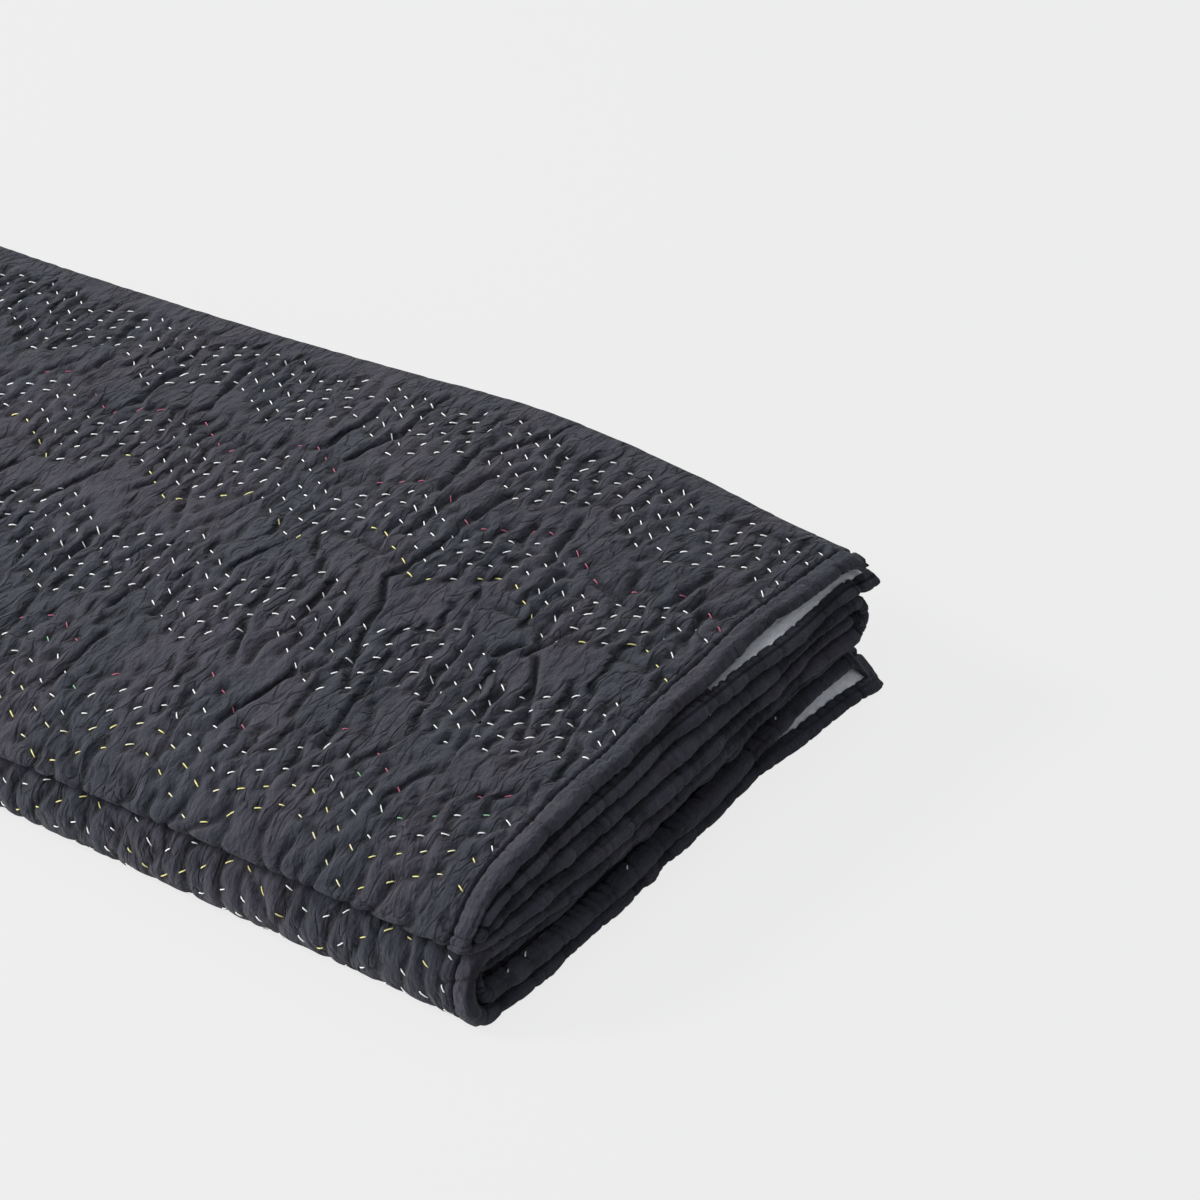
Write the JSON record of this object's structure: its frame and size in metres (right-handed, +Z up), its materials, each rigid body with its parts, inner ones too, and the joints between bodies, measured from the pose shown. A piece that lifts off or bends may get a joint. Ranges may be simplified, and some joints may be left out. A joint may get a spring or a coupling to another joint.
{
  "type": "folded kantha quilt",
  "caption": "Kantha quilt in dark washed cotton with zigzag rows of running stitch, folded into a soft layered pile.",
  "frame": {"origin": "middle of the pile's footprint, on the surface it rests on", "axes": "+X along the pile, towards its open hemmed end; +Y from the front folds to the back edges; +Z up"},
  "size_m": [1.0186, 0.3856, 0.1083],
  "materials": {
    "face_cotton": "washed charcoal cotton, matt and crinkled",
    "reverse_cotton": "pale grey cotton, matt",
    "white_thread": "thick cotton thread, white",
    "yellow_thread": "thick cotton thread, cream yellow",
    "pink_thread": "thick cotton thread, dusky pink",
    "green_thread": "thick cotton thread, sea green"
  },
  "bodies": {
    "root": {"quilt": "face_cotton"}
  },
  "joints": []
}
